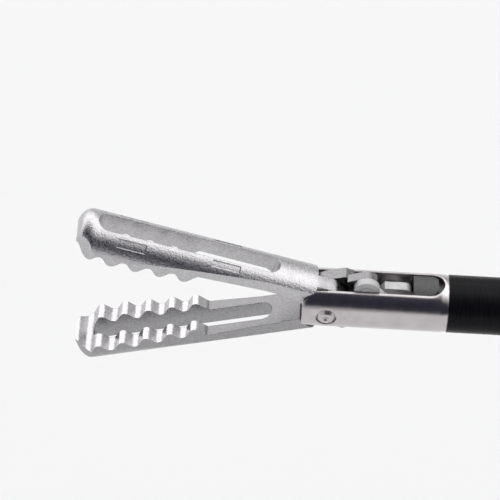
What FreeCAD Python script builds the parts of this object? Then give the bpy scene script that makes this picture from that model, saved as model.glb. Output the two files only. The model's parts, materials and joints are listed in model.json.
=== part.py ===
import FreeCAD, Part
import math
import os
import re
import Sketcher

# A laparoscopic grasper of 5 mm, in millimetres.
# The shaft lies along X with the jaws towards -X, and the handle hangs down along -Z.
# The origin is on the shaft's axis, at the front face of the hub that the sleeve comes out of.

SIZES = {
    # Shaft
    "shaft_radius": 2.5,
    "sleeve_wall": 0.3,
    "tube_wall": 0.4,
    "sleeve_length": 300.0,
    "tube_tail": 16.0,
    "pivot_to_sleeve": 10.45,
    "rod_radius": 0.8,
    "spigot_length": 6.0,
    # Clevis at the tip
    "cheek_radius": 2.1,
    "cheek_corner": 2.4,
    "clevis_slot": 2.4,
    "clevis_slot_end": 10.05,
    "clevis_lead": 0.65,
    "clevis_step": 0.08,
    "guide_start": 7.35,
    "guide_length": 2.85,
    "guide_radius": 1.9,
    "guide_slot_depth": 1.7,
    "guide_relief_depth": 0.9,
    "guide_rib_length": 2.15,
    "guide_rib_bevel": 0.5,
    "guide_crown": 2.4,
    "pivot_radius": 0.6,
    "pivot_head_radius": 0.88,
    "pivot_head_depth": 0.5,
    "pivot_dimple": 0.3,
    # Jaws, measured from the pivot along the closed jaw
    "jaw_length": 22.5,
    "jaw_radius": 2.45,
    "nose_radius": 1.2,
    "nose_half_width": 1.2,
    "nose_bevel": 1.5,
    "jaw_wide_from": 18.5,
    "jaw_narrow_to": 6.0,
    "jaw_base_half_width": 1.69,
    "window_front": 21.15,
    "window_back": 5.0,
    "window_half_width": 0.93,
    "tooth_pitch": 2.15,
    "tooth_depth": 0.75,
    "tooth_slope": 50.0,
    "upper_trough": 22.5,
    "tooth_gap": 0.05,
    "palm_recess": 0.65,
    "heel_length": 4.1,
    "heel_recess": 0.5,
    "shoulder_back": 0.25,
    "shoulder_round": 0.97,
    "shoulder_gap": 0.1,
    "rest_opening": 16.5,
    # Pockets on the outside of the jaws
    "grip_depth": 0.13,
    "grip_length": 2.5,
    "front_grip": 18.0,
    "front_grip_angle": 49.0,
    "front_grip_span": 18.0,
    "rear_grip": 9.7,
    "rear_grip_angle": 57.0,
    "rear_grip_span": 13.0,
    # Hinge plates, tails and links
    "layer_gap": 0.05,
    "tang_half": 0.42,
    "link_gap": 0.03,
    "link_plate": 0.65,
    "tail_radius": 3.96,
    "tail_angle": 15.66,
    "tail_eye_radius": 1.0,
    "eye_radius": 1.1,
    "link_length": 3.08,
    "link_waist": 0.72,
    "link_pin_radius": 0.52,
    "pin_clearance": 0.02,
    "loose_clearance": 0.18,
    "tang_front": 1.39,
    "tang_back": 1.6,
    "tang_height": 1.95,
    "tang_nose": 0.9,
    "tang_round": 0.6,
    "tang_slot_play": 0.35,
    "slide_gap": 0.05,
    # Hub and rotation knob
    "hub_radius": 4.2,
    "hub_front": 18.0,
    "hub_nose": 2.0,
    "spindle_radius": 3.5,
    "spindle_reach": 12.8,
    "spindle_bore": 1.3,
    "knob_length": 20.0,
    "knob_gap": 0.2,
    "knob_radius": 12.0,
    "knob_nose_radius": 7.0,
    "flute_radius": 5.0,
    "flute_depth": 1.7,
    "flute_count": 6.0,
    "port_place": 9.0,
    "port_bore": 2.1,
    "port_wall": 0.75,
    "port_height": 14.0,
    "port_seat": 3.3,
    "port_lug": 3.95,
    "port_lug_height": 1.6,
    "flange_radius": 6.0,
    "flange_setback": 6.8,
    "flange_length": 4.0,
    "running_gap": 0.05,
    # Handle
    "handle_half": 7.0,
    "shell_corner": 3.0,
    "shell_bevel": 1.5,
    "shell_nose": 7.0,
    "shell_back": 21.0,
    "shell_wall": 2.0,
    "barrel_top": 11.0,
    "barrel_bottom": 9.0,
    "ball_setback": 21.8,
    "ball_radius": 2.0,
    "lever_arm": 8.0,
    "lever_half": 3.0,
    "lever_gap": 0.2,
    "fork_half_width": 5.5,
    "fork_top": 3.4,
    "fork_floor": 2.8,
    "lever_pin_radius": 2.5,
    "lever_pin_head": 3.6,
    "finger_ring_lead": 18.0,
    "finger_ring_drop": 66.0,
    "finger_ring_inner": 11.0,
    "finger_ring_straight": 6.0,
    "thumb_ring_reach": 36.0,
    "thumb_ring_drop": 48.0,
    "thumb_ring_inner": 11.5,
    "ring_wall": 5.0,
    "ring_half": 4.5,
    "ring_bevel": 1.6,
    "root_round": 3.0,
    "stem_foot": 40.0,
    "stem_neck": 22.0,
    "stem_width": 10.0,
    "stem_setback": 5.0,
    "mouth_front": 7.2,
    "mouth_front_depth": 24.5,
    "mouth_back": 24.0,
    "mouth_back_depth": 15.0,
    "post_lead": 3.0,
    "post_radius": 2.0,
    "post_height": 12.0,
    "post_base_radius": 3.4,
    "post_base_height": 2.5,
    "screw_radius": 1.5,
    "screw_inset": 3.6,
    "screw_head_radius": 2.7,
    "screw_head_depth": 1.2,
}

document = FreeCAD.newDocument("Grasper")
sheet = document.addObject("Spreadsheet::Sheet", "Sizes")
for row, (word, size) in enumerate(SIZES.items(), start=1):
    sheet.set(f"A{row}", word)
    sheet.set(f"B{row}", str(size))
    sheet.setAlias(f"B{row}", word)
document.recompute()

# Places and sizes that follow from the sheet, as formulas in its words.
PIVOT = "-(sleeve_length + pivot_to_sleeve)"
REST_ANGLE = "(tail_angle + rest_opening)"
TAIL_PIN_X = "(tail_radius * cos(tail_angle))"
TAIL_PIN_Z = "(tail_radius * sin(tail_angle))"
REST_PIN_X = f"(tail_radius * cos{REST_ANGLE})"
REST_PIN_Z = f"(tail_radius * sin{REST_ANGLE})"
LINK_TILT = f"asin({REST_PIN_Z} / link_length)"
ROD_PIN = f"({REST_PIN_X} + link_length * cos({LINK_TILT}))"
TANG_END = f"({ROD_PIN} + tang_back)"
TUBE_RADIUS = "(shaft_radius - sleeve_wall)"
TUBE_BORE = f"({TUBE_RADIUS} - tube_wall)"
SPIGOT_RADIUS = f"({TUBE_BORE} - pin_clearance)"
HANDLE_FRONT = "(hub_front + knob_length + knob_gap)"
FLANGE_FRONT = f"({HANDLE_FRONT} + flange_setback)"
SPINDLE_END = f"({HANDLE_FRONT} + spindle_reach)"
BALL_PLACE = f"({HANDLE_FRONT} + ball_setback)"
RING_PLACE = f"({BALL_PLACE} - finger_ring_lead)"
STEM_BACK = f"({BALL_PLACE} - stem_setback)"
STEM_FRONT = f"({STEM_BACK} - stem_width)"
PLATE_HALF = "(clevis_slot / 2 - layer_gap)"
TOOTH_ROUND = ("((tan(tooth_slope) * tooth_pitch / 2 - tooth_depth)"
               " / (2 / cos(tooth_slope) - 2))")
BALL_CUT = "sqrt(ball_radius ^ 2 - rod_radius ^ 2)"

SUB_PARTS = []


def bound(formula):
    """The formula as an expression whose words are cells of the sheet."""
    return re.sub(r"[a-z]\w+", lambda found: f"Sizes.{found[0]}" if found[0] in SIZES else found[0],
                  str(formula))


def number(formula):
    """What the formula comes to with the sheet's present values."""
    return float(sheet.evalExpression(bound(formula).replace("Sizes.", "")))


def bind(thing, **formulas):
    """Binds the thing's properties to formulas; an underscore pair stands for a dot."""
    for name, formula in formulas.items():
        thing.setExpression(name.replace("__", "."), bound(formula))


def new_body(label, x="0", y="0", z="0", turn="0"):
    """A body of its own for one sub-part, turned about Y and then moved to its place."""
    body = document.addObject("PartDesign::Body", label)
    body.Label = label
    body.setExpression("Placement", bound(
        f"placement(vector({x}; {y}; {z}); rotation(vector(0; 1; 0); {turn}))"))
    SUB_PARTS.append(body)
    return body


def new_sketch(body, name, plane, lift="0", tilt=None):
    """An empty sketch on one of the body's origin planes, lifted off it and tilted about its X."""
    sketch = body.newObject("Sketcher::SketchObject", f"{body.Name}_{name}")
    origin_plane = next(f for f in body.Origin.OriginFeatures if f.Role == plane)
    sketch.AttachmentSupport = [(origin_plane, "")]
    sketch.MapMode = "FlatFace"
    if tilt is not None:
        sketch.AttachmentOffset = FreeCAD.Placement(
            FreeCAD.Vector(), FreeCAD.Rotation(FreeCAD.Vector(1, 0, 0), number(tilt)))
        bind(sketch, AttachmentOffset__Rotation__Angle=tilt)
    bind(sketch, AttachmentOffset__Base__z=lift)
    return sketch


def add_outline(sketch, points):
    """A closed outline in the sketch. A point is (x, y), or (x, y, radius) with an arc to the
    next point that bends to the left, or to the right where the radius starts with a minus."""
    places = [FreeCAD.Vector(number(point[0]), number(point[1]), 0) for point in points]
    ends = []
    for index, point in enumerate(points):
        start = places[index]
        stop = places[(index + 1) % len(points)]
        if len(point) == 2:
            edge = sketch.addGeometry(Part.LineSegment(start, stop))
            ends.append((edge, 1, 2))
            continue
        left = not str(point[2]).startswith("-")
        formula = str(point[2]).lstrip("-")
        radius = number(formula)
        if not left:
            start, stop = stop, start
        chord = stop - start
        side = FreeCAD.Vector(-chord.y, chord.x, 0).normalize()
        rise = math.sqrt(max(radius ** 2 - (chord.Length / 2) ** 2, 0))
        centre = start + chord / 2 + side * rise
        from_angle = math.atan2(start.y - centre.y, start.x - centre.x)
        to_angle = math.atan2(stop.y - centre.y, stop.x - centre.x)
        circle = Part.Circle(centre, FreeCAD.Vector(0, 0, 1), radius)
        edge = sketch.addGeometry(Part.ArcOfCircle(circle, from_angle, to_angle))
        ends.append((edge, 1, 2) if left else (edge, 2, 1))
        hold = sketch.addConstraint(Sketcher.Constraint("Radius", edge, radius))
        sketch.setExpression(f"Constraints[{hold}]", bound(formula))
    for index, point in enumerate(points):
        edge, first, _ = ends[index]
        before, _, last = ends[index - 1]
        sketch.addConstraint(Sketcher.Constraint("Coincident", before, last, edge, first))
        for kind, formula in (("DistanceX", point[0]), ("DistanceY", point[1])):
            hold = sketch.addConstraint(
                Sketcher.Constraint(kind, -1, 1, edge, first, number(formula)))
            sketch.setExpression(f"Constraints[{hold}]", bound(formula))


def add_circle(sketch, x, y, radius):
    """A circle in the sketch."""
    centre = FreeCAD.Vector(number(x), number(y), 0)
    edge = sketch.addGeometry(Part.Circle(centre, FreeCAD.Vector(0, 0, 1), number(radius)))
    for kind, formula in (("DistanceX", x), ("DistanceY", y)):
        hold = sketch.addConstraint(Sketcher.Constraint(kind, -1, 1, edge, 3, number(formula)))
        sketch.setExpression(f"Constraints[{hold}]", bound(formula))
    hold = sketch.addConstraint(Sketcher.Constraint("Radius", edge, number(radius)))
    sketch.setExpression(f"Constraints[{hold}]", bound(radius))


def stadium(x, y, radius, straight):
    """The outline of a slot with round ends, standing along the sketch's Y."""
    return [(f"{x} + {radius}", f"{y} - {straight}"),
            (f"{x} + {radius}", f"{y} + {straight}", radius),
            (f"{x}", f"{y} + {straight} + {radius}", radius),
            (f"{x} - {radius}", f"{y} + {straight}"),
            (f"{x} - {radius}", f"{y} - {straight}", radius),
            (f"{x}", f"{y} - {straight} - {radius}", radius)]


def lying_slot(start, stop, radius):
    """The outline of a slot with round ends along the sketch's X, between its two end points."""
    return [(f"{start} + {radius}", f"-{radius}"),
            (f"{stop} - {radius}", f"-{radius}", radius),
            (f"{stop}", "0", radius),
            (f"{stop} - {radius}", f"{radius}"),
            (f"{start} + {radius}", f"{radius}", radius),
            (f"{start}", "0", radius)]


def drawn(body, name, plane, outlines=(), circles=(), lift="0", tilt=None):
    """A finished sketch with its outlines and circles."""
    sketch = new_sketch(body, name, plane, lift, tilt)
    for outline in outlines:
        add_outline(sketch, outline)
    for circle in circles:
        add_circle(sketch, *circle)
    return sketch


def pad(body, name, plane, low, high, outlines=(), circles=()):
    """Material between two distances from the plane, along the sketch's own normal."""
    sketch = drawn(body, name, plane, outlines, circles, lift=low)
    feature = body.newObject("PartDesign::Pad", f"{body.Name}_{name}_pad")
    feature.Profile = sketch
    bind(feature, Length=f"({high}) - ({low})")
    return feature


def cut_through(body, name, plane, outlines=(), circles=()):
    """A cut right through the body, to both sides of the plane."""
    sketch = drawn(body, name, plane, outlines, circles)
    feature = body.newObject("PartDesign::Pocket", f"{body.Name}_{name}_cut")
    feature.Profile = sketch
    feature.Type = "ThroughAll"
    feature.Midplane = True
    return feature


def cut_between(body, name, plane, low, high, outlines=(), circles=()):
    """A cut between two distances from the plane, along the sketch's own normal."""
    sketch = drawn(body, name, plane, outlines, circles, lift=low)
    feature = body.newObject("PartDesign::Pocket", f"{body.Name}_{name}_cut")
    feature.Profile = sketch
    feature.Reversed = True
    bind(feature, Length=f"({high}) - ({low})")
    return feature


def turned(body, name, outline, plane="XZ_Plane", axis="H_Axis"):
    """A turned solid: the outline spun about one of the sketch's axes."""
    sketch = drawn(body, name, plane, [outline])
    feature = body.newObject("PartDesign::Revolution", f"{body.Name}_{name}_turn")
    feature.Profile = sketch
    feature.ReferenceAxis = (sketch, [axis])
    feature.Angle = 360
    return feature


def groove(body, name, outline, plane="XZ_Plane", axis="H_Axis", tilt=None, span=None):
    """A turned cut: all round, or over a span of angle to both sides of the tilted sketch."""
    sketch = drawn(body, name, plane, [outline], tilt=tilt)
    feature = body.newObject("PartDesign::Groove", f"{body.Name}_{name}_groove")
    feature.Profile = sketch
    feature.ReferenceAxis = (sketch, [axis])
    feature.Angle = 360
    if span is not None:
        feature.Midplane = True
        bind(feature, Angle=span)
    return feature


def round_edges(body, radius, chosen):
    """A fillet on the edges of the body's present shape that the test picks."""
    document.recompute()
    base = body.Tip
    names = [f"Edge{number_}" for number_, edge in enumerate(base.Shape.Edges, start=1)
             if chosen(edge)]
    feature = body.newObject("PartDesign::Fillet", f"{body.Name}_round")
    feature.Base = (base, names)
    bind(feature, Radius=radius)
    return feature


def bevel_edges(body, width, chosen):
    """A chamfer on the edges of the body's present shape that the test picks."""
    document.recompute()
    base = body.Tip
    names = [f"Edge{number_}" for number_, edge in enumerate(base.Shape.Edges, start=1)
             if chosen(edge)]
    feature = body.newObject("PartDesign::Chamfer", f"{body.Name}_bevel")
    feature.Base = (base, names)
    bind(feature, Size=width)
    return feature


def simple_ring(label, x, outer, inner, length):
    """A plain tube along X."""
    body = new_body(label, x=x)
    turned(body, "wall", [("0", inner), ("0", outer), (length, outer), (length, inner)])
    return body


def wave(first, crest_first, centres):
    """The teeth from the jaw's nose back: round crests and troughs joined by straight flanks.
    The first centre lies on the given distance from the pivot, on the nose's side."""
    run = f"({TOOTH_ROUND} * sin(tooth_slope))"
    rise = f"({TOOTH_ROUND} * (1 - cos(tooth_slope)))"
    points = []
    for index in range(centres):
        crest = (index % 2 == 0) == crest_first
        x = f"(-{first} + {index} * tooth_pitch / 2)"
        level = "(tooth_gap - tooth_depth / 2)" if crest else "(tooth_gap + tooth_depth / 2)"
        edge = f"{level} + {rise}" if crest else f"{level} - {rise}"
        bend = TOOTH_ROUND if crest else f"-{TOOTH_ROUND}"
        if index == 0:
            points.append(("-jaw_length - 1", level))
            points.append((x, level, bend))
        else:
            points.append((f"{x} - {run}", edge, bend))
        points.append((f"{x} + {run}", edge))
    foot = f"((palm_recess - tooth_gap + tooth_depth / 2 - {rise}) / tan(tooth_slope))"
    points.append((f"{x} + {run} + {foot}", "palm_recess"))
    return points


def side_cuts(sign):
    """What is cut off one side of the jaw in plan: the bevel at the nose and the taper."""
    nose = [("-jaw_length", f"{sign} * nose_half_width"),
            ("-jaw_length + nose_bevel", f"{sign} * jaw_radius"),
            ("-jaw_length + nose_bevel", f"{sign} * (jaw_radius + 1)"),
            ("-jaw_length - 1", f"{sign} * (jaw_radius + 1)"),
            ("-jaw_length - 1", f"{sign} * nose_half_width")]
    taper = [("-jaw_wide_from", f"{sign} * jaw_radius"),
             ("-jaw_narrow_to", f"{sign} * jaw_base_half_width"),
             ("0", f"{sign} * jaw_base_half_width"),
             ("0", f"{sign} * (jaw_radius + 1)"),
             ("-jaw_wide_from", f"{sign} * (jaw_radius + 1)")]
    return [nose, taper]


SHOULDER_END = "(shoulder_round * sin(46) - shoulder_back)"
SHOULDER_LOW = "(jaw_radius - shoulder_round * (1 - cos(46)))"


def new_jaw(label, roll, first, crest_first, centres):
    """One jaw with its hinge plate and tail, drawn closed with its pivot at the origin.
    The two jaws differ in the teeth, which are half a pitch apart, and the roll of half a turn
    puts the lower jaw's hinge plate on the far side."""
    body = document.addObject("PartDesign::Body", label)
    body.Label = label
    side = "-rest_opening" if roll else "rest_opening"
    body.setExpression("Placement", bound(
        f"placement(vector({PIVOT}; 0; 0); rotation(vector(0; 1; 0); {side})"
        f" * rotation(vector(1; 0; 0); {roll}))"))
    SUB_PARTS.append(body)
    turned(body, "blank", [
        ("-jaw_length", "0"),
        ("-jaw_length", "jaw_radius - nose_radius", "-nose_radius"),
        ("-jaw_length + nose_radius", "jaw_radius"),
        ("-shoulder_back", "jaw_radius", "-shoulder_round"),
        (SHOULDER_END, SHOULDER_LOW),
        (SHOULDER_END, "0")])
    cut_through(body, "plan", "XY_Plane", side_cuts("1") + side_cuts("-1"))
    cut_through(body, "teeth", "XZ_Plane", [
        [("-jaw_length - 1", "-jaw_radius - 1")] + wave(first, crest_first, centres)
        + [("-heel_length", "palm_recess"), ("-heel_length", "heel_recess"),
           (f"{SHOULDER_END} + 1", "heel_recess"), (f"{SHOULDER_END} + 1", "-jaw_radius - 1")]])
    cut_through(body, "window", "XY_Plane",
                [lying_slot("-window_front", "-window_back", "window_half_width")])
    for name, low, high in (("near_shoulder", PLATE_HALF, "jaw_radius + 1"),
                            ("far_shoulder", "-jaw_radius - 1", "layer_gap")):
        cut_between(body, name, "XZ_Plane", low, high,
                    circles=[("0", "0", "cheek_corner + shoulder_gap")])
        cut_between(body, f"{name}_back", "XZ_Plane", low, high, [[
            ("-0.75 * cheek_radius", "-jaw_radius - 1"), (SHOULDER_END, "-jaw_radius - 1"),
            (f"{SHOULDER_END} + 1", "jaw_radius + 1"), ("-0.75 * cheek_radius", "jaw_radius + 1")]])
    for name in ("front_grip", "rear_grip"):
        for sign in ("1", "-1"):
            groove(body, f"{name}_{'far' if sign == '1' else 'near'}", [
                (f"-{name} - grip_length / 2", "jaw_radius - grip_depth"),
                (f"-{name} - grip_length / 2", "jaw_radius + 0.5"),
                (f"-{name} + grip_length / 2", "jaw_radius + 0.5"),
                (f"-{name} + grip_length / 2", "jaw_radius - grip_depth")],
                tilt=f"{sign} * (90 - {name}_angle)", span=f"{name}_span")
    pad(body, "plate", "XZ_Plane", "layer_gap", PLATE_HALF, [[
        ("-cheek_radius - 1", "palm_recess"),
        ("-cheek_radius - 1", "0.95 * cheek_radius"),
        ("0", "cheek_radius"),
        ("0.95 * cheek_radius", "0.3 * cheek_radius"),
        (f"{TAIL_PIN_X} - 0.9 * tail_eye_radius", f"-0.3 * {TAIL_PIN_Z}"),
        (f"{TAIL_PIN_X} - tail_eye_radius", "-0.75 * cheek_radius"),
        (f"{TAIL_PIN_X} - 1.6 * tail_eye_radius", "-cheek_radius"),
        ("0", "-cheek_radius"),
        ("-0.95 * cheek_radius", "heel_recess")]])
    pad(body, "disc", "XZ_Plane", "layer_gap", PLATE_HALF, circles=[("0", "0", "cheek_radius")])
    neck = "(cheek_radius + 2 * shoulder_gap)"
    pad(body, "neck", "XZ_Plane", "-tang_half", "tang_half", [[
        (neck, "-0.25 * cheek_radius"),
        (neck, "-cheek_radius + 0.15"),
        (TAIL_PIN_X, f"-{TAIL_PIN_Z} - tail_eye_radius"),
        (TAIL_PIN_X, f"-{TAIL_PIN_Z} + tail_eye_radius"),
        (f"{TAIL_PIN_X} - 0.9 * tail_eye_radius", f"-{TAIL_PIN_Z} + 0.9 * tail_eye_radius")]])
    pad(body, "eye", "XZ_Plane", "-tang_half", "tang_half",
        circles=[(TAIL_PIN_X, f"-{TAIL_PIN_Z}", "tail_eye_radius")])
    cut_through(body, "holes", "XZ_Plane", circles=[
        ("0", "0", "pivot_radius + pin_clearance"),
        (TAIL_PIN_X, f"-{TAIL_PIN_Z}", "link_pin_radius")])
    return body


def new_link(label, side, hole_clearance):
    """A flat link between a jaw's tail and the rod, in the layer on the given side."""
    body = new_body(label, x=f"{PIVOT} + {REST_PIN_X}", z=f"{side} * {REST_PIN_Z}",
                    turn=f"{side} * {LINK_TILT}")
    near = "(tang_half + link_gap)" if side == "1" else "-(tang_half + link_gap + link_plate)"
    far = f"({near} + link_plate)"
    pad(body, "bar", "XZ_Plane", near, far, [[
        ("0", "-link_waist"), ("link_length", "-link_waist"),
        ("link_length", "link_waist"), ("0", "link_waist")]])
    pad(body, "tail_eye", "XZ_Plane", near, far, circles=[("0", "0", "eye_radius")])
    pad(body, "rod_eye", "XZ_Plane", near, far, circles=[("link_length", "0", "eye_radius")])
    cut_through(body, "holes", "XZ_Plane", circles=[
        ("0", "0", "link_pin_radius + pin_clearance"),
        ("link_length", "0", f"link_pin_radius + {hole_clearance}")])
    return body


def new_cross_pin(label, x, z, low, high, radius):
    """A plain pin along Y between two distances towards -Y."""
    body = new_body(label, x=x, z=z)
    pad(body, "shank", "XZ_Plane", low, high, circles=[("0", "0", radius)])
    return body


# Jaws: the upper one starts in a trough at the nose and the lower one on a crest.
new_jaw("upper_jaw", 0, "upper_trough", False, 10)
new_jaw("lower_jaw", 180, "upper_trough", True, 11)

# Links: the near one carries the lower jaw's tail, the far one the upper jaw's.
PIN_END = f"({PLATE_HALF} - 0.02)"
new_link("near_link", "1", "0")
new_link("far_link", "-1", "loose_clearance")
new_cross_pin("lower_link_pin", f"{PIVOT} + {REST_PIN_X}", REST_PIN_Z,
              "-tang_half", PIN_END, "link_pin_radius")
new_cross_pin("upper_link_pin", f"{PIVOT} + {REST_PIN_X}", f"-{REST_PIN_Z}",
              f"-{PIN_END}", "tang_half", "link_pin_radius")
new_cross_pin("rod_link_pin", f"{PIVOT} + {ROD_PIN}", "0",
              f"-{PIN_END}", PIN_END, "link_pin_radius")

# Clevis: a turned body with a bore for the guide, slotted from the front, its cheeks flat in
# front with corners rounded about the pivot, so that the jaws' shoulders swing clear.
clevis = new_body("jaw_clevis", x=PIVOT)
turned(clevis, "blank", [
    ("-cheek_radius", "0"),
    ("-cheek_radius", "shaft_radius"),
    ("pivot_to_sleeve - clevis_lead", "shaft_radius"),
    ("pivot_to_sleeve", "shaft_radius - clevis_step"),
    ("pivot_to_sleeve", SPIGOT_RADIUS),
    ("pivot_to_sleeve + spigot_length", SPIGOT_RADIUS),
    ("pivot_to_sleeve + spigot_length", "rod_radius + 0.2"),
    ("guide_start + guide_length", "rod_radius + 0.2"),
    ("guide_start + guide_length", "guide_radius"),
    ("guide_start - slide_gap", "guide_radius"),
    ("guide_start - slide_gap", "0")])
cut_through(clevis, "slot", "XY_Plane", [
    lying_slot("-cheek_radius - clevis_slot", "clevis_slot_end", "clevis_slot / 2")])
cut_through(clevis, "cheeks", "XZ_Plane", [[
    ("-shaft_radius - 1", "-shaft_radius - 1"),
    ("0", "-shaft_radius - 1"),
    ("0", "-cheek_corner", "-cheek_corner"),
    ("-cheek_corner", "0", "-cheek_corner"),
    ("0", "cheek_corner"),
    ("0", "shaft_radius + 1"),
    ("-shaft_radius - 1", "shaft_radius + 1")]])
cut_through(clevis, "pin_hole", "XZ_Plane", circles=[("0", "0", "pivot_radius")])
for side in ("1", "-1"):
    start = "shaft_radius - pivot_head_depth"
    low, high = (start, "shaft_radius + 1") if side == "1" else ("-shaft_radius - 1", f"-({start})")
    cut_between(clevis, f"seat_{'near' if side == '1' else 'far'}", "XZ_Plane", low, high,
                circles=[("0", "0", "pivot_head_radius")])

# Pivot pin of the jaws, riveted into both cheeks with a dimple in each head.
pivot = new_body("jaw_pivot_pin", x=PIVOT)
half = [("pivot_head_radius", "shaft_radius - pivot_head_depth"),
        ("pivot_head_radius", "shaft_radius - 0.2"),
        ("pivot_dimple", "shaft_radius - 0.04"),
        ("0", "shaft_radius - pivot_dimple")]
turned(pivot, "shank", [("pivot_radius", f"-({half[0][1]})"),
                        ("pivot_radius", half[0][1])] + half
       + [(x, f"-({y})") for x, y in reversed(half)], plane="XY_Plane", axis="V_Axis")

# Guide in the clevis that keeps the tang upright: a round core in the clevis's bore, with a rib
# above and below that fills the clevis's slot and roofs over the pocket for the tang.
RIB_HALF = "(clevis_slot / 2 - slide_gap)"
guide = new_body("rod_guide", x=f"{PIVOT} + guide_start")
turned(guide, "core", [("0", "0"), ("0", "guide_radius"), ("guide_length", "guide_radius"),
                       ("guide_length", "0")])
pad(guide, "rib", "XY_Plane", "-guide_crown", "guide_crown", [[
    ("0", f"-{RIB_HALF}"), ("guide_rib_length - guide_rib_bevel", f"-{RIB_HALF}"),
    ("guide_rib_length", f"-{RIB_HALF} + guide_rib_bevel"),
    ("guide_rib_length", f"{RIB_HALF} - guide_rib_bevel"),
    ("guide_rib_length - guide_rib_bevel", RIB_HALF), ("0", RIB_HALF)]])
groove(guide, "crown", [("-1", "guide_crown"), ("-1", "shaft_radius + 1"),
                        ("guide_length", "shaft_radius + 1"), ("guide_length", "guide_crown")])
cut_through(guide, "bore", "YZ_Plane", circles=[("0", "0", "rod_radius + slide_gap")])
cut_between(guide, "pocket", "XY_Plane", "-tang_height - slide_gap", "tang_height + slide_gap", [[
    ("-1", "-tang_half - slide_gap"), ("guide_slot_depth", "-tang_half - slide_gap"),
    ("guide_slot_depth", "tang_half + slide_gap"), ("-1", "tang_half + slide_gap")]])
cut_through(guide, "relief", "XZ_Plane", [[
    ("-1", "-eye_radius - 0.2"), ("guide_relief_depth", "-eye_radius - 0.2"),
    ("guide_relief_depth", "eye_radius + 0.2"), ("-1", "eye_radius + 0.2")]])

# Tang on the rod's end, with a slot for the pin that carries both links.
tang = new_body("rod_tang", x=f"{PIVOT} + {ROD_PIN}")
pad(tang, "plate", "XZ_Plane", "-tang_half", "tang_half", [[
    ("-tang_front", "-tang_nose"), ("-tang_front", "tang_nose"),
    ("-tang_front / 2", "tang_height"), ("tang_back - tang_round", "tang_height", "-tang_round"),
    ("tang_back", "tang_height - tang_round"), ("tang_back", "-tang_height + tang_round", "-tang_round"),
    ("tang_back - tang_round", "-tang_height"), ("-tang_front / 2", "-tang_height")]])
SLOT_ROUND = "(link_pin_radius + 0.1)"
cut_through(tang, "slot", "XZ_Plane", [
    lying_slot(f"-(tang_slot_play + {SLOT_ROUND})", f"(tang_slot_play + {SLOT_ROUND})",
               SLOT_ROUND)])

# Rod from the tang to the ball in the handle.
rod = new_body("drive_rod", x=f"{PIVOT} + {TANG_END}")
turned(rod, "bar", [
    ("0", "0"), ("0", "rod_radius"),
    (f"{BALL_PLACE} - {BALL_CUT} - ({PIVOT}) - {TANG_END}", "rod_radius"),
    (f"{BALL_PLACE} - {BALL_CUT} - ({PIVOT}) - {TANG_END}", "0")])
ball = new_body("rod_ball", x=BALL_PLACE)
turned(ball, "ball", [
    (f"-{BALL_CUT}", "0"), (f"-{BALL_CUT}", "rod_radius"),
    ("-0.4 * ball_radius", "ball_radius"), ("0.4 * ball_radius", "ball_radius"),
    ("0.9 * ball_radius", "0.45 * ball_radius"), ("0.9 * ball_radius", "0")])

# Tubes of the shaft.
simple_ring("outer_tube", "-sleeve_length", TUBE_RADIUS, TUBE_BORE, "sleeve_length + tube_tail")
simple_ring("insulation_sleeve", "-sleeve_length", "shaft_radius", TUBE_RADIUS, "sleeve_length")

# Hub with the flush port, its spindle running in the handle.
hub = new_body("sheath_hub")
turned(hub, "core", [
    ("0", TUBE_RADIUS),
    ("0", "hub_radius - hub_nose / 2"),
    ("hub_nose", "hub_radius"),
    ("hub_front", "hub_radius"),
    ("hub_front", "spindle_radius"),
    (SPINDLE_END, "spindle_radius"),
    (SPINDLE_END, "spindle_bore"),
    ("tube_tail", "spindle_bore"),
    ("tube_tail", TUBE_RADIUS)])
cut_between(hub, "port_seat", "XY_Plane", "port_seat", "hub_radius + 1",
            circles=[("port_place", "0", "port_bore + port_wall")])

port = new_body("flush_port", x="port_place")
turned(port, "wall", [
    ("port_bore", "port_seat"),
    ("port_bore + port_wall", "port_seat"),
    ("port_bore + port_wall", "port_height - port_lug_height"),
    ("port_lug", "port_height - port_lug_height"),
    ("port_lug", "port_height"),
    ("port_bore", "port_height")], axis="V_Axis")
cut_between(port, "lugs", "XY_Plane", "port_height - port_lug_height", "port_height + 1", [
    [("-port_lug - 1", f"{sign} * (port_bore + port_wall)"),
     ("port_lug + 1", f"{sign} * (port_bore + port_wall)"),
     ("port_lug + 1", f"{sign} * (port_lug + 1)"),
     ("-port_lug - 1", f"{sign} * (port_lug + 1)")] for sign in ("1", "-1")])

# Rotation knob, fluted all round.
knob = new_body("rotation_knob", x="hub_front")
turned(knob, "blank", [
    ("0", "spindle_radius"),
    ("0", "knob_nose_radius"),
    ("0.35 * knob_length", "knob_radius"),
    ("knob_length", "knob_radius"),
    ("knob_length", "spindle_radius")])
flute = cut_between(knob, "flute", "YZ_Plane", "0.15 * knob_length", "knob_length + 1",
                    circles=[("0", "knob_radius + flute_radius - flute_depth", "flute_radius")])
document.recompute()
flutes = knob.newObject("PartDesign::PolarPattern", "knob_flutes")
flutes.Originals = [flute]
flutes.Axis = (next(f for f in knob.Origin.OriginFeatures if f.Role == "X_Axis"), [""])
flutes.Angle = 360
bind(flutes, Occurrences="flute_count")
knob.Tip = flutes

# Collar on the spindle that holds the shaft in the handle.
simple_ring("spindle_collar", FLANGE_FRONT, "flange_radius", "spindle_radius", "flange_length")

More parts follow.
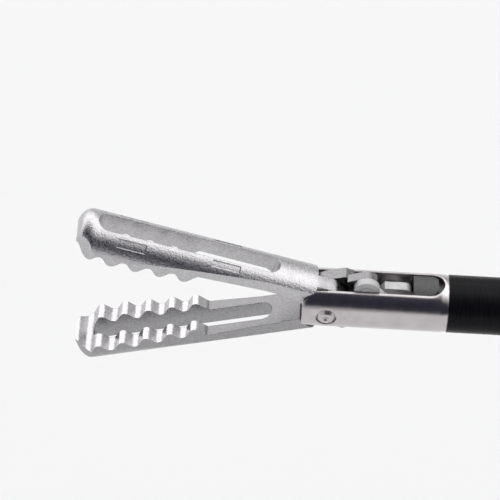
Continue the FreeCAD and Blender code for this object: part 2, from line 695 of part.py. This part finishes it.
# The handle's outline, front bottom corner first, and the room inside it for the lever.
HOUSING = [
    (HANDLE_FRONT, "-barrel_bottom"),
    (HANDLE_FRONT, "barrel_bottom"),
    (f"{HANDLE_FRONT} + shell_nose", "barrel_top"),
    (f"{BALL_PLACE} + shell_back / 3", "barrel_top"),
    (f"{BALL_PLACE} + 0.9 * shell_back", "0.6 * barrel_top"),
    (f"{BALL_PLACE} + shell_back", "-barrel_bottom / 3"),
    (f"{BALL_PLACE} + 0.76 * shell_back", "-1.33 * barrel_bottom"),
    (BALL_PLACE, "-stem_neck"),
    (STEM_BACK, "-stem_foot"),
    (STEM_FRONT, "-stem_foot"),
    (f"{STEM_FRONT} + 0.2 * stem_width", "-stem_neck"),
    (f"{HANDLE_FRONT} + 0.85 * shell_nose", "-1.33 * barrel_bottom")]
LEVER_X = BALL_PLACE
LEVER_Z = "-lever_arm"
CAVITY = [
    (f"{LEVER_X} - fork_half_width - shell_wall", "fork_top + shell_wall"),
    (f"{LEVER_X} - fork_half_width - shell_wall", f"{LEVER_Z} - fork_half_width / 2"),
    (f"{LEVER_X} + mouth_front", f"{LEVER_Z} - mouth_front_depth"),
    (f"{LEVER_X} + mouth_back", f"{LEVER_Z} - mouth_back_depth"),
    (f"{LEVER_X} + 1.75 * fork_half_width", f"{LEVER_Z} / 2"),
    (f"{LEVER_X} + 1.65 * fork_half_width", "fork_top + shell_wall")]
SCREWS = ((f"{HANDLE_FRONT} + screw_inset", "-0.7 * barrel_bottom"),
          (f"{BALL_PLACE} + 0.7 * shell_back", "0"),
          (f"{STEM_BACK} - 0.45 * stem_width", "-0.775 * stem_foot"))


def new_shell(label, side):
    """One half of the handle's housing, split down the middle plane."""
    body = new_body(label)
    low, high = ("0", "handle_half") if side == "near" else ("-handle_half", "0")
    pad(body, "blank", "XZ_Plane", low, high, [HOUSING])
    foot = -number("stem_foot")
    outer = -number("handle_half") if side == "near" else number("handle_half")
    round_edges(body, "shell_corner", lambda edge: edge.BoundBox.YLength > 1
                and edge.Vertexes[0].Z > foot + 1)
    bevel_edges(body, "shell_bevel", lambda edge: all(
        abs(vertex.Y - outer) < 0.001 and vertex.Z > foot - 1 for vertex in edge.Vertexes)
        and edge.CenterOfMass.z > foot + 0.001)
    depth = "(lever_half + lever_gap)"
    low, high = ("-1", depth) if side == "near" else (f"-{depth}", "1")
    cut_between(body, "cavity", "XZ_Plane", low, high, [CAVITY])
    groove(body, "bearing", [
        (f"{HANDLE_FRONT} - 1", "0"),
        (f"{HANDLE_FRONT} - 1", "spindle_radius + running_gap"),
        (f"{FLANGE_FRONT} - 0.1", "spindle_radius + running_gap"),
        (f"{FLANGE_FRONT} - 0.1", "flange_radius + 0.2"),
        (f"{FLANGE_FRONT} + flange_length + 0.1", "flange_radius + 0.2"),
        (f"{FLANGE_FRONT} + flange_length + 0.1", "spindle_radius + running_gap"),
        (f"{LEVER_X} - fork_half_width - 1", "spindle_radius + running_gap"),
        (f"{LEVER_X} - fork_half_width - 1", "0")])
    cut_through(body, "holes", "XZ_Plane", circles=[
        (LEVER_X, LEVER_Z, "lever_pin_radius")]
        + [(x, z, "screw_radius") for x, z in SCREWS])
    if side == "near":
        cut_between(body, "screw_seats", "XZ_Plane", "handle_half - screw_head_depth",
                    "handle_half + 1",
                    circles=[(x, z, "screw_head_radius") for x, z in SCREWS])
    return body


new_shell("handle_near_shell", "near")
new_shell("handle_far_shell", "far")
for index, (x, z) in enumerate(SCREWS, start=1):
    screw = new_body(f"shell_screw_{index}", x=x, z=z)
    pad(screw, "shank", "XZ_Plane", "-0.7 * handle_half", "handle_half - screw_head_depth",
        circles=[("0", "0", "screw_radius")])
    pad(screw, "head", "XZ_Plane", "handle_half - screw_head_depth", "handle_half - 0.2",
        circles=[("0", "0", "screw_head_radius")])

# Finger ring on the stem's foot.
ring = new_body("finger_ring", x=RING_PLACE, z="-finger_ring_drop")
FINGER_OUTER = "(finger_ring_inner + ring_wall)"
ROOT_BACK = "(finger_ring_lead - stem_setback)"
ROOT_FRONT = f"({ROOT_BACK} - stem_width)"
pad(ring, "loop", "XZ_Plane", "-ring_half", "ring_half", [
    stadium("0", "0", FINGER_OUTER, "finger_ring_straight")])
pad(ring, "root", "XZ_Plane", "-ring_half", "ring_half", [[
    (ROOT_FRONT, "finger_ring_drop - stem_foot"),
    (f"{ROOT_FRONT} - 0.1 * stem_width", "finger_ring_straight + ring_wall"),
    (f"{ROOT_BACK} - 0.1 * stem_width", "finger_ring_straight + ring_wall"),
    (ROOT_BACK, "finger_ring_drop - stem_foot")]])
cut_through(ring, "hole", "XZ_Plane", [
    stadium("0", "0", "finger_ring_inner", "finger_ring_straight")])
seat = number("finger_ring_drop - stem_foot")
round_edges(ring, "root_round", lambda edge: edge.BoundBox.YLength > 1
            and number("finger_ring_straight + 1") < edge.CenterOfMass.z < seat - 0.1
            and edge.CenterOfMass.x > 1)
bevel_edges(ring, "ring_bevel", lambda edge: abs(edge.BoundBox.YLength) < 0.001 and not all(
    abs(vertex.Z - seat) < 0.001 for vertex in edge.Vertexes))

# Thumb lever: the fork for the rod's ball above its pivot, the arm and ring below.
lever = new_body("thumb_lever", x=LEVER_X, z=LEVER_Z)
THUMB_OUTER = "(thumb_ring_inner + ring_wall)"
pad(lever, "fork", "XZ_Plane", "-lever_half", "lever_half", [[
    ("-fork_half_width", "0"), ("-fork_half_width", "-0.55 * fork_half_width"),
    ("0", "-1.35 * fork_half_width"),
    ("thumb_ring_reach - 1.13 * thumb_ring_inner", "-thumb_ring_drop + 0.35 * thumb_ring_inner"),
    ("thumb_ring_reach - 0.17 * thumb_ring_inner", "-thumb_ring_drop + 1.13 * thumb_ring_inner"),
    ("1.55 * fork_half_width", "-0.7 * fork_half_width"),
    ("fork_half_width", "0"), ("fork_half_width", "lever_arm + fork_top"),
    ("-fork_half_width", "lever_arm + fork_top")]])
cut_through(lever, "ball_slot", "XZ_Plane", [[
    ("-ball_radius - slide_gap", "lever_arm - fork_floor"),
    ("ball_radius + slide_gap", "lever_arm - fork_floor"),
    ("ball_radius + slide_gap", "lever_arm + fork_top + 1"),
    ("-ball_radius - slide_gap", "lever_arm + fork_top + 1")]])
cut_between(lever, "rod_slot", "YZ_Plane", "-fork_half_width - 1", "0", [[
    ("-rod_radius - 0.3", "lever_arm - fork_floor"),
    ("rod_radius + 0.3", "lever_arm - fork_floor"),
    ("rod_radius + 0.3", "lever_arm + fork_top + 1"),
    ("-rod_radius - 0.3", "lever_arm + fork_top + 1")]])
cut_through(lever, "pin_hole", "XZ_Plane",
            circles=[("0", "0", "lever_pin_radius + running_gap")])
pad(lever, "thumb_loop", "XZ_Plane", "-ring_half", "ring_half",
    circles=[("thumb_ring_reach", "-thumb_ring_drop", THUMB_OUTER)])
cut_through(lever, "thumb_hole", "XZ_Plane",
            circles=[("thumb_ring_reach", "-thumb_ring_drop", "thumb_ring_inner")])
loop_side = number("ring_half")
bevel_edges(lever, "ring_half - lever_half - 0.1", lambda edge: all(
    abs(abs(vertex.Y) - loop_side) < 0.001 for vertex in edge.Vertexes))

# Pivot pin of the lever, with a head on each side.
new_cross_pin("lever_pivot_pin", LEVER_X, LEVER_Z, "-handle_half", "handle_half",
              "lever_pin_radius")
for label, low, high in (("lever_pin_near_cap", "handle_half", "handle_half + 0.8"),
                         ("lever_pin_far_cap", "-handle_half - 0.8", "-handle_half")):
    new_cross_pin(label, LEVER_X, LEVER_Z, low, high, "lever_pin_head")

# Post for the high-frequency cable, on top of the barrel.
post = new_body("hf_post", x=f"{BALL_PLACE} - post_lead", z="barrel_top")
turned(post, "pin", [
    ("0", "0"), ("post_base_radius", "0"), ("post_base_radius", "post_base_height"),
    ("post_radius", "post_base_height"),
    ("post_radius", "post_base_height + post_height - 0.5"),
    ("post_radius - 0.5", "post_base_height + post_height"),
    ("0", "post_base_height + post_height")], axis="V_Axis")

document.recompute()
for thing in document.Objects:
    if "Invalid" in thing.State or "Error" in thing.State:
        raise RuntimeError(f"{thing.Name} failed: {thing.State}")
os.makedirs("parts", exist_ok=True)
for body in SUB_PARTS:
    if body.Shape.isNull() or not body.Shape.isValid():
        raise RuntimeError(f"{body.Label} has no valid shape")
    if len(body.Shape.Solids) != 1:
        raise RuntimeError(f"{body.Label} is {len(body.Shape.Solids)} solids")
    body.Shape.exportStep(f"parts/{body.Label}.step")
    print(f"{body.Label}: {body.Shape.Volume:.2f} mm3")
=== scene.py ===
import json
import math

import bmesh
import bpy
from mathutils import Matrix, Vector


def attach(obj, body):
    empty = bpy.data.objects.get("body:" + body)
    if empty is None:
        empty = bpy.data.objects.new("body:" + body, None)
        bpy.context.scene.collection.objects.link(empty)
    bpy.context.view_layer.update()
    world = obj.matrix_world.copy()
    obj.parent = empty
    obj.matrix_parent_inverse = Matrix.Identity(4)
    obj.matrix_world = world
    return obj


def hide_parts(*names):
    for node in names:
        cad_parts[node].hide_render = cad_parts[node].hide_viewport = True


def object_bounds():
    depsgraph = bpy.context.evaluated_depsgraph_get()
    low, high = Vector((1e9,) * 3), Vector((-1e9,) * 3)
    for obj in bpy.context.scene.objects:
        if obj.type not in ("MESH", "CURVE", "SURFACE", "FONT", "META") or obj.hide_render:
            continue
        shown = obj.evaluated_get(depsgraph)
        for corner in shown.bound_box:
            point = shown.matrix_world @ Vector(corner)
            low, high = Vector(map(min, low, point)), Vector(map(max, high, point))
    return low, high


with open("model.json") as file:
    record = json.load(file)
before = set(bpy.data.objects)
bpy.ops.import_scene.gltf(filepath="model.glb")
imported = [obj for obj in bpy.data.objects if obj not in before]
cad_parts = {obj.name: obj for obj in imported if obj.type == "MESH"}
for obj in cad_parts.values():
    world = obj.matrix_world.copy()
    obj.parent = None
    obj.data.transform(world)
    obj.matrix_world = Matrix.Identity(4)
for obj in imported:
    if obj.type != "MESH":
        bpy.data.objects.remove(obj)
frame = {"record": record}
cad_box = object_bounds()
MM = 0.001
pivot = Vector(next(joint for joint in frame["record"]["behaviour"]["joints"]
                    if joint["name"] == "upper_jaw_hinge")["pos_m"])

# Camera: the shaft's axis falls a few degrees to the right, seen from well above its near side.
ELEVATION = math.radians(48.0)
ROLL = math.radians(3.15)
FRAME_PIXELS = 500
PIXELS_PER_MM = 11.6
PIVOT_PIXEL = (326.5, 296.8)
LENS = 200.0
SENSOR = 36.0
NEAREST = 0.001
FARTHEST = 100


def set_camera():
    """The photograph's view, with the jaws' pivot at its pixel."""
    level_right = Vector((1, 0, 0))
    level_up = Vector((0, math.sin(ELEVATION), math.cos(ELEVATION)))
    forward = Vector((0, math.cos(ELEVATION), -math.sin(ELEVATION)))
    right = math.cos(ROLL) * level_right + math.sin(ROLL) * level_up
    up = math.cos(ROLL) * level_up - math.sin(ROLL) * level_right
    pixel = MM / PIXELS_PER_MM
    middle = FRAME_PIXELS / 2
    centre = (pivot - right * (PIVOT_PIXEL[0] - middle) * pixel
              + up * (PIVOT_PIXEL[1] - middle) * pixel)
    distance = FRAME_PIXELS * pixel * LENS / SENSOR
    lens = bpy.data.cameras.new("camera")
    lens.type = "PERSP"
    lens.lens = LENS
    lens.sensor_width = SENSOR
    lens.clip_start = NEAREST
    lens.clip_end = FARTHEST
    camera = bpy.data.objects.new("camera", lens)
    bpy.context.scene.collection.objects.link(camera)
    turn = Matrix((right, up, -forward)).transposed()
    camera.matrix_world = Matrix.Translation(centre - forward * distance) @ turn.to_4x4()
    bpy.context.scene.camera = camera


def new_material(name, colour, metallic, roughness, **sockets):
    """A material whose plain values are set on its own shader."""
    material = bpy.data.materials.new(name)
    material.use_nodes = True
    shader = material.node_tree.nodes["Principled BSDF"]
    shader.inputs["Base Color"].default_value = (*colour, 1)
    shader.inputs["Metallic"].default_value = metallic
    shader.inputs["Roughness"].default_value = roughness
    for socket, value in sockets.items():
        shader.inputs[socket.replace("_", " ")].default_value = value
    return material


def noise_layer(material, scale, stretch=(1, 1, 1), detail=4.0):
    """Noise in the object's own space, its scale counted per millimetre."""
    nodes = material.node_tree.nodes
    links = material.node_tree.links
    place = nodes.new("ShaderNodeTexCoord")
    size = nodes.new("ShaderNodeMapping")
    size.inputs["Scale"].default_value = tuple(part / MM for part in stretch)
    noise = nodes.new("ShaderNodeTexNoise")
    noise.inputs["Scale"].default_value = scale
    noise.inputs["Detail"].default_value = detail
    links.new(place.outputs["Object"], size.inputs["Vector"])
    links.new(size.outputs["Vector"], noise.inputs["Vector"])
    return noise.outputs["Fac"]


# The noise's middle range, over which roughness and colour are spread.
NOISE_RANGE = (0.3, 0.7)
TINT_RANGE = (0.35, 0.65)


def spread_roughness(material, value, low, high):
    """The noise's middle range spread over two roughnesses."""
    nodes = material.node_tree.nodes
    links = material.node_tree.links
    span = nodes.new("ShaderNodeMapRange")
    span.inputs["From Min"].default_value = NOISE_RANGE[0]
    span.inputs["From Max"].default_value = NOISE_RANGE[1]
    span.inputs["To Min"].default_value = low
    span.inputs["To Max"].default_value = high
    links.new(value, span.inputs["Value"])
    links.new(span.outputs["Result"], nodes["Principled BSDF"].inputs["Roughness"])


def tint(material, value, low, high):
    """Two shades of the base colour, mixed by the noise's middle range."""
    nodes = material.node_tree.nodes
    links = material.node_tree.links
    ramp = nodes.new("ShaderNodeValToRGB")
    for element, position, shade in zip(ramp.color_ramp.elements, TINT_RANGE, (low, high)):
        element.position = position
        element.color = (*shade, 1)
    links.new(value, ramp.inputs["Fac"])
    links.new(ramp.outputs["Color"], nodes["Principled BSDF"].inputs["Base Color"])


def relief(material, value, height, edge=0.0):
    """Fine relief of the noise, over softened edges, both sizes in millimetres."""
    nodes = material.node_tree.nodes
    links = material.node_tree.links
    bump = nodes.new("ShaderNodeBump")
    bump.inputs["Strength"].default_value = 1.0
    bump.inputs["Distance"].default_value = height * MM
    links.new(value, bump.inputs["Height"])
    if edge:
        soften = nodes.new("ShaderNodeBevel")
        soften.samples = 6
        soften.inputs["Radius"].default_value = edge * MM
        links.new(soften.outputs["Normal"], bump.inputs["Normal"])
    links.new(bump.outputs["Normal"], nodes["Principled BSDF"].inputs["Normal"])


def add_math(material, operation, first, second, clamp=False):
    """A sum worked out by a material or the world, each value a socket or a number."""
    node = material.node_tree.nodes.new("ShaderNodeMath")
    node.operation = operation
    node.use_clamp = clamp
    for socket, value in zip(node.inputs, (first, second)):
        if isinstance(value, (int, float)):
            socket.default_value = value
        else:
            material.node_tree.links.new(value, socket)
    return node.outputs["Value"]


def weighted(material, start, *terms):
    """The start value with each socket added, times its own weight."""
    total = start
    for value, weight in terms:
        total = add_math(material, "ADD", add_math(material, "MULTIPLY", value, weight), total)
    return total


def step_at(material, value, middle, width):
    """Nought below the middle value and one above it, with a slope of this width between."""
    value = add_math(material, "SUBTRACT", value, middle - width / 2)
    return add_math(material, "MULTIPLY", value, 1 / width, clamp=True)


def both(material, first, second):
    """One where both masks are."""
    return add_math(material, "MULTIPLY", first, second)


def opposite(material, mask):
    """One where the mask is nought."""
    return add_math(material, "SUBTRACT", 1.0, mask)


# Jaws: at rest each is turned by this angle from the shaft's axis. The tail starts just in front of
# the pivot, and the palm lies a little below the plane in which the closed jaws meet; the tail and
# the palm get painted shade in the jaws' colour.
REST_OPENING = math.radians(16.5)
TAIL_START = -0.8 * MM
TAIL_BLUR = 0.5 * MM
PALM_LEVEL = -0.46 * MM
LEVEL_BLUR = 0.025 * MM
# How closely a surface looks the palm's way to be palm or teeth, and over what span that fades.
PALM_FACING = 0.97
PALM_FADE = 1 / 60
TEETH_FACING = 0.5
TEETH_FADE = 1 / 8
# The teeth's colour is brightened by this factor, a painted highlight.
TEETH_PAINTED_HIGHLIGHT = 1.08
JAW_SHADES = ((0.43, 0.42, 0.43), (0.57, 0.56, 0.57))


def jaw_masks(material, facing):
    """Masks of a jaw's palm, teeth and tail, by the way its surfaces look and where they lie."""
    nodes = material.node_tree.nodes
    links = material.node_tree.links
    place = nodes.new("ShaderNodeTexCoord")
    along = {}
    for output in ("Normal", "Object"):
        dot = nodes.new("ShaderNodeVectorMath")
        dot.operation = "DOT_PRODUCT"
        dot.inputs[1].default_value = facing
        links.new(place.outputs[output], dot.inputs[0])
        along[output] = dot.outputs["Value"]
    parts = nodes.new("ShaderNodeSeparateXYZ")
    links.new(place.outputs["Object"], parts.inputs["Vector"])
    tail = step_at(material, parts.outputs["X"], pivot.x + TAIL_START, TAIL_BLUR)
    high = step_at(material, along["Object"], facing.dot(pivot) + PALM_LEVEL, LEVEL_BLUR)
    flat = step_at(material, along["Normal"], PALM_FACING, PALM_FADE)
    rising = step_at(material, along["Normal"], TEETH_FACING, TEETH_FADE)
    palm = both(material, flat, opposite(material, high))
    teeth = both(material, both(material, rising, high), opposite(material, tail))
    return palm, teeth, tail


def scale_colour(material, factor):
    """The base colour made lighter or darker by a socket's value."""
    nodes = material.node_tree.nodes
    links = material.node_tree.links
    colour = nodes["Principled BSDF"].inputs["Base Color"]
    scaled = nodes.new("ShaderNodeVectorMath")
    scaled.operation = "SCALE"
    links.new(colour.links[0].from_socket, scaled.inputs[0])
    links.new(factor, scaled.inputs["Scale"])
    links.new(scaled.outputs["Vector"], colour)


def blasted_jaw(name, side, shade):
    """Shot-blasted steel, rougher on the flat palm and smoother on the ground teeth, with painted
    light in its colour: a painted highlight on the teeth and painted shade on the palm and tail.
    The side is -1 for the jaw whose palm looks down, and shade is a painted shade that darkens
    all but the teeth."""
    material = new_material(name, (0.5, 0.5, 0.5), 1.0, 0.4)
    frost = noise_layer(material, 7.0, detail=4.0)
    cloud = noise_layer(material, 1.2, detail=5.0)
    facing = Vector((-math.sin(REST_OPENING), 0, side * math.cos(REST_OPENING)))
    palm, teeth, tail = jaw_masks(material, facing)
    rough = weighted(material, 0.15, (frost, 0.3), (palm, 0.15), (teeth, -0.1))
    shader = material.node_tree.nodes["Principled BSDF"]
    material.node_tree.links.new(rough, shader.inputs["Roughness"])
    grain = weighted(material, -0.125, (frost, 1.0), (cloud, 0.25))
    # shade is painted shade: it darkens the whole jaw's colour, and the teeth's painted highlight
    # below undoes it there.
    low, high = ([shade * part for part in colour] for colour in JAW_SHADES)
    tint(material, grain, low, high)
    # Painted light in the colour: the teeth brightened as a painted highlight, the recessed palm
    # and the tail behind the pivot darkened as painted shade.
    painted_light = weighted(material, 1.0, (teeth, TEETH_PAINTED_HIGHLIGHT / shade - 1), (palm, -0.15), (tail, -0.3))
    scale_colour(material, painted_light)
    relief(material, frost, 0.03, edge=0.07)
    return material


def bright_steel(name, rough, stretch, height, edge):
    """Bright steel with the fine marks of its finish."""
    material = new_material(name, (0.55, 0.53, 0.54), 1.0, 0.18)
    marks = noise_layer(material, 3.0, stretch=stretch, detail=5.0)
    cloud = noise_layer(material, 0.8, detail=4.0)
    spread_roughness(material, marks, rough, rough + 0.1)
    tint(material, cloud, (0.49, 0.46, 0.465), (0.55, 0.52, 0.525))
    relief(material, marks, height, edge=edge)
    return material


def satin_steel():
    """Plain ground steel of the links, pins, rod and screws."""
    material = new_material("satin_steel", (0.42, 0.41, 0.42), 0.4, 0.5)
    ground = noise_layer(material, 6.0)
    cloud = noise_layer(material, 1.0)
    spread_roughness(material, ground, 0.46, 0.64)
    tint(material, cloud, (0.46, 0.455, 0.46), (0.57, 0.565, 0.57))
    relief(material, ground, 0.012, edge=0.05)
    return material


def dark_insert():
    """Near-black non-metal finish of the guide in the clevis."""
    material = new_material("dark_insert", (0.12, 0.12, 0.12), 0.0, 0.4)
    rub = noise_layer(material, 4.0)
    spread_roughness(material, rub, 0.32, 0.46)
    tint(material, rub, (0.04, 0.04, 0.04), (0.07, 0.07, 0.07))
    relief(material, rub, 0.003, edge=0.05)
    return material


def black_sleeve():
    """Black insulation with fine lines round it."""
    material = new_material("black_sleeve", (0.012, 0.012, 0.013), 0.0, 0.4,
                            Specular_IOR_Level=0.09)
    lines = noise_layer(material, 3.0, stretch=(5, 0.2, 0.2), detail=5.0)
    spread_roughness(material, lines, 0.24, 0.34)
    tint(material, lines, (0.003, 0.003, 0.004), (0.007, 0.006, 0.008))
    relief(material, lines, 0.004)
    return material


def moulded_plastic(name, rough, shades, skin_scale, skin_height, cloud_scale):
    """Black plastic with the fine grain of its mould, under slow clouds of gloss and shade."""
    material = new_material(name, (0.02, 0.02, 0.022), 0.0, rough[1])
    skin = noise_layer(material, skin_scale, detail=3.0)
    cloud = noise_layer(material, cloud_scale)
    spread_roughness(material, cloud, *rough)
    tint(material, cloud, *shades)
    relief(material, skin, skin_height, edge=0.3)
    return material


RIVETED = bright_steel("riveted_steel", 0.24, (2, 2, 2), 0.006, 0.02)
FINISHES = {
    blasted_jaw("blasted_upper_jaw", -1, 1.0): ("upper_jaw",),
    # The lower jaw's 0.66 is painted shade, darkening its colour on all but the teeth.
    blasted_jaw("blasted_lower_jaw", 1, 0.66): ("lower_jaw",),
    bright_steel("polished_steel", 0.14, (4, 0.15, 0.15), 0.0012, 0.28): (
        "jaw_clevis", "flush_port", "hf_post"),
    RIVETED: ("jaw_pivot_pin",),
    satin_steel(): (
        "near_link", "far_link", "lower_link_pin", "upper_link_pin", "rod_link_pin",
        "rod_tang", "drive_rod", "rod_ball", "outer_tube", "spindle_collar",
        "shell_screw_1", "shell_screw_2", "shell_screw_3", "lever_pivot_pin",
        "lever_pin_near_cap", "lever_pin_far_cap"),
    dark_insert(): ("rod_guide",),
    black_sleeve(): ("insulation_sleeve",),
    moulded_plastic("smooth_black", (0.24, 0.36),
                    ((0.018, 0.018, 0.020), (0.026, 0.026, 0.028)), 1.5, 0.006, 0.1): (
        "sheath_hub", "rotation_knob", "finger_ring"),
    moulded_plastic("moulded_black", (0.42, 0.55),
                    ((0.016, 0.016, 0.018), (0.024, 0.024, 0.026)), 3.0, 0.03, 0.08): (
        "handle_near_shell", "handle_far_shell", "thumb_lever"),
}


def finish_node(name, material):
    """Gives a CAD node its finish; its mesh and place stay as they are."""
    node = bpy.data.objects[name]
    node.data.materials.clear()
    node.data.materials.append(material)


def turned_piece(name, profile, axis, place, material, segments=48):
    """A turned solid in mesh code: the profile of radius and distance, spun about the axis."""
    shape = bmesh.new()
    axis = Vector(axis)
    side = axis.orthogonal().normalized()
    turns = [Matrix.Rotation(2 * math.pi * step / segments, 3, axis) for step in range(segments)]
    rings = []
    for radius, along in profile:
        base = Vector(place) + axis * along * MM
        if radius == 0:
            rings.append([shape.verts.new(base)])
        else:
            rings.append([shape.verts.new(base + turn @ side * radius * MM) for turn in turns])
    for first, second in zip(rings, rings[1:]):
        for step in range(segments):
            after = (step + 1) % segments
            corners = [first[step % len(first)], first[after % len(first)],
                       second[after % len(second)], second[step % len(second)]]
            shape.faces.new(list(dict.fromkeys(corners)))
    bmesh.ops.recalc_face_normals(shape, faces=shape.faces)
    for face in shape.faces:
        face.smooth = True
    mesh = bpy.data.meshes.new(name)
    shape.to_mesh(mesh)
    shape.free()
    mesh.materials.append(material)
    piece = bpy.data.objects.new(name, mesh)
    bpy.context.scene.collection.objects.link(piece)
    return piece


def pivot_pin():
    """The jaws' pivot pin with its riveted heads, each a crown with the punch's dimple.
    Every point is a radius and its distance from the pin's middle, in millimetres."""
    neck = [(0.59, 2.0), (0.86, 2.0)]
    crown = [(0.86, 2.31), (0.79, 2.33), (0.76, 2.35), (0.56, 2.51), (0.52, 2.53)]
    dimple = [(0.28, 2.54), (0.24, 2.51), (0.06, 2.35), (0.0, 2.34)]
    far_half = neck + crown + dimple
    near_half = [(radius, -along) for radius, along in reversed(far_half)]
    pin = turned_piece("pivot_pin_domed", near_half + far_half, (0, 1, 0), pivot, RIVETED)
    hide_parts("jaw_pivot_pin")
    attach(pin, "shaft")


# Plain pale floor just under the handle.
FLOOR_REACH = 3.0
FLOOR_GAP = 2 * MM
FLOOR_COLOUR = (0.9, 0.9, 0.9)


def lay_floor():
    """A plain pale floor, wide enough for every view."""
    level = cad_box[0][2] - FLOOR_GAP
    corners = [(-1, -1), (1, -1), (1, 1), (-1, 1)]
    mesh = bpy.data.meshes.new("floor")
    mesh.from_pydata([(x * FLOOR_REACH, y * FLOOR_REACH, level) for x, y in corners],
                     [], [(0, 1, 2, 3)])
    floor = bpy.data.objects.new("floor", mesh)
    bpy.context.scene.collection.objects.link(floor)
    mesh.materials.append(new_material("floor", FLOOR_COLOUR, 0.0, 1.0, Specular_IOR_Level=0.0))


# Soft studio light: white from above and behind, faint at the level front, dark between them.
# Each stop is a share of the half turn from the level front over the top to the level back.
LIGHT_STRENGTH = 2.1
LIGHT_LEAN = 0.3
BACKGROUND = (0.443, 0.443, 0.443)
LIGHT_STOPS = [
    (0.0, (0.36, 0.36, 0.36)),
    (0.015, (0.36, 0.36, 0.36)),
    (0.05, (0.012, 0.012, 0.02)),
    (0.36, (0.02, 0.02, 0.03)),
    (0.46, (0.35, 0.35, 0.35)),
    (0.55, (1.0, 1.0, 1.0)),
    (0.82, (1.0, 1.0, 1.0)),
    (0.90, (0.3, 0.3, 0.3)),
    (1.0, (0.3, 0.3, 0.3)),
]


def light_studio():
    """Light that changes over the half turn and leans along the shaft. The camera itself sees an
    even pale backdrop in its place."""
    world = bpy.data.worlds.new("studio")
    bpy.context.scene.world = world
    world.use_nodes = True
    nodes = world.node_tree.nodes
    links = world.node_tree.links
    way = nodes.new("ShaderNodeTexCoord")
    parts = nodes.new("ShaderNodeSeparateXYZ")
    links.new(way.outputs["Generated"], parts.inputs["Vector"])
    front = add_math(world, "MULTIPLY", parts.outputs["Y"], -1.0)
    height = add_math(world, "ARCTAN2", parts.outputs["Z"], front)
    share = add_math(world, "DIVIDE", height, math.pi)
    share = weighted(world, share, (parts.outputs["X"], LIGHT_LEAN))
    cards = nodes.new("ShaderNodeValToRGB")
    links.new(share, cards.inputs["Fac"])
    ramp = cards.color_ramp
    for position, _ in LIGHT_STOPS[1:-1]:
        ramp.elements.new(position)
    for element, (_, colour) in zip(ramp.elements, LIGHT_STOPS):
        element.color = (*colour, 1)
    seen = nodes.new("ShaderNodeLightPath")
    backdrop = nodes.new("ShaderNodeMix")
    backdrop.data_type = "RGBA"
    backdrop.inputs["B"].default_value = (*BACKGROUND, 1)
    links.new(seen.outputs["Is Camera Ray"], backdrop.inputs["Factor"])
    links.new(cards.outputs["Color"], backdrop.inputs["A"])
    light = nodes["Background"]
    light.inputs["Strength"].default_value = LIGHT_STRENGTH
    links.new(backdrop.outputs["Result"], light.inputs["Color"])


bpy.context.scene.view_settings.view_transform = "Standard"
set_camera()
for finish, names in FINISHES.items():
    for node_name in names:
        finish_node(node_name, finish)
pivot_pin()
lay_floor()
light_studio()
